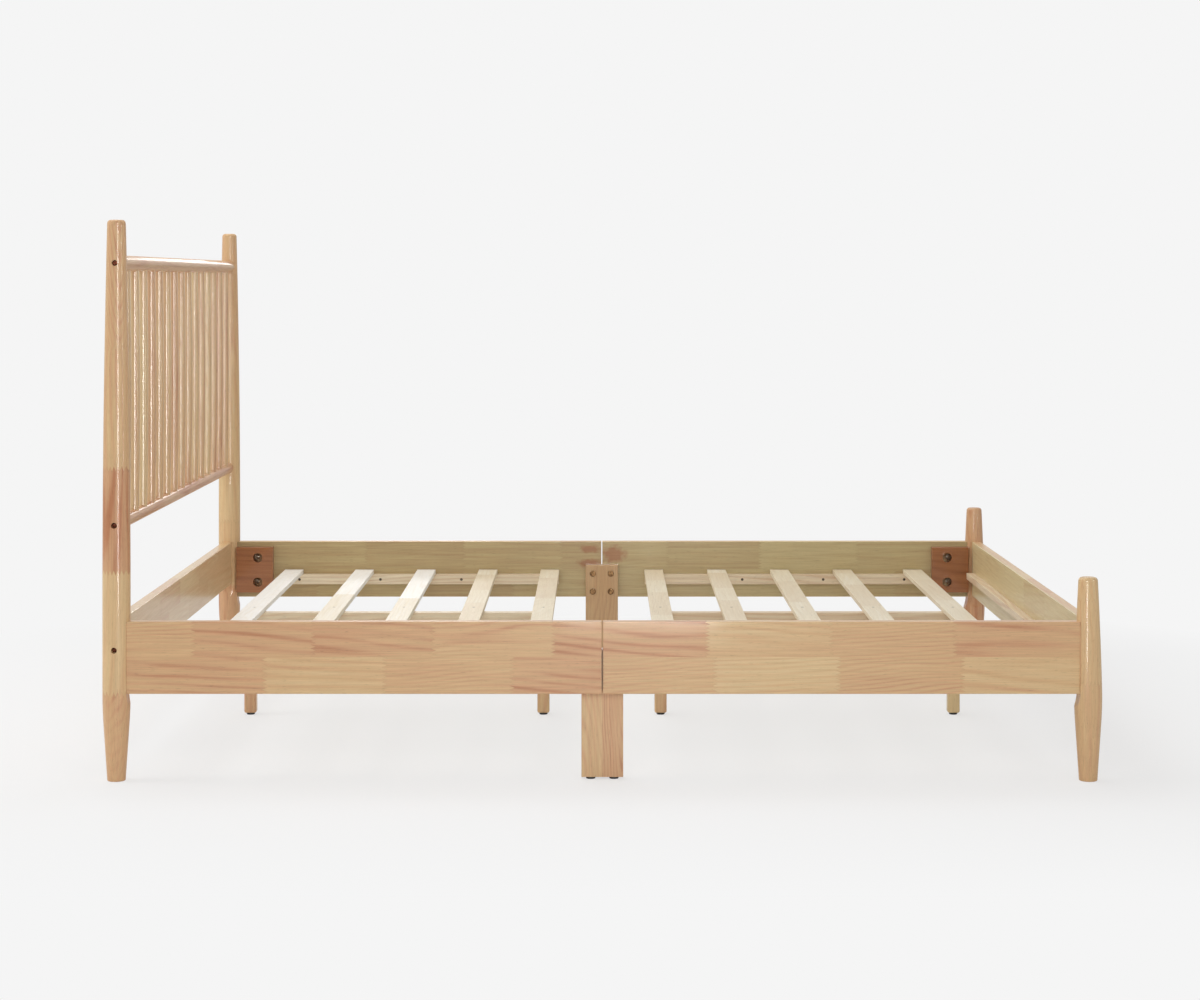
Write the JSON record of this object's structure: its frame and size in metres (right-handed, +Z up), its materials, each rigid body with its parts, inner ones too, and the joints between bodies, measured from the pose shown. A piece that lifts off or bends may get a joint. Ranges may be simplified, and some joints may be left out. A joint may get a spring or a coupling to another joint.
{
  "type": "spindle bed",
  "caption": "Wooden bed frame with a spindle headboard between tall turned posts, short turned foot posts, split side rails, slats and centre legs.",
  "frame": {"origin": "on the floor, midway between the four posts", "axes": "+X from the headboard to the foot, +Y to the right-hand side for someone at the foot looking at the headboard, +Z up"},
  "size_m": [2.1486, 1.6296, 1.205],
  "materials": {
    "post_wood": "satin clear lacquer",
    "headboard_wood": "satin clear lacquer",
    "spindle_wood": "satin clear lacquer",
    "rail_wood": "satin clear lacquer, finger-jointed strips",
    "plank_wood": "satin clear lacquer",
    "block_wood": "satin clear lacquer",
    "ledger_wood": "sanded, thin lacquer",
    "slat_wood": "sanded, thin lacquer",
    "leg_wood": "sanded, thin lacquer",
    "dowel_wood": "bare",
    "zinc_steel": "zinc plated",
    "antique_brass": "dull antique plating",
    "insert_brass": "bare",
    "pad_plastic": "fine grained"
  },
  "bodies": {
    "root": {"head_post_left": "post_wood", "head_post_right": "post_wood", "foot_post_left": "post_wood", "foot_post_right": "post_wood", "headboard_top_rail": "headboard_wood", "headboard_lower_rail": "headboard_wood", "spindle_01": "spindle_wood", "spindle_02": "spindle_wood", "spindle_03": "spindle_wood", "spindle_04": "spindle_wood", "spindle_05": "spindle_wood", "spindle_06": "spindle_wood", "spindle_07": "spindle_wood", "spindle_08": "spindle_wood", "spindle_09": "spindle_wood", "spindle_10": "spindle_wood", "spindle_11": "spindle_wood", "spindle_12": "spindle_wood", "spindle_13": "spindle_wood", "spindle_14": "spindle_wood", "spindle_15": "spindle_wood", "head_end_rail": "rail_wood", "foot_end_rail": "rail_wood", "side_rail_head_left": "rail_wood", "side_rail_head_right": "rail_wood", "side_rail_foot_left": "rail_wood", "side_rail_foot_right": "rail_wood", "foot_ledger": "ledger_wood", "centre_plank_left": "plank_wood", "centre_plank_right": "plank_wood", "centre_beam_head": "ledger_wood", "centre_beam_foot": "ledger_wood", "slat_01": "slat_wood", "slat_02": "slat_wood", "slat_03": "slat_wood", "slat_04": "slat_wood", "slat_05": "slat_wood", "slat_06": "slat_wood", "slat_07": "slat_wood", "slat_08": "slat_wood", "slat_09": "slat_wood", "slat_10": "slat_wood", "corner_block_head_left": "block_wood", "corner_block_head_right": "block_wood", "corner_block_foot_left": "block_wood", "corner_block_foot_right": "block_wood", "ledgers_left": "ledger_wood", "ledgers_right": "ledger_wood", "centre_legs": "leg_wood", "hanger_bolts": "zinc_steel", "half_moon_washers": "zinc_steel", "hanger_nuts": "zinc_steel", "plank_bolts": "antique_brass", "headboard_bolts": "antique_brass", "threaded_inserts": "insert_brass", "foot_rail_dowels": "dowel_wood", "ledger_screws": "zinc_steel", "slat_screws": "zinc_steel", "floor_pads": "pad_plastic", "leg_bolts": "zinc_steel"}
  },
  "joints": []
}
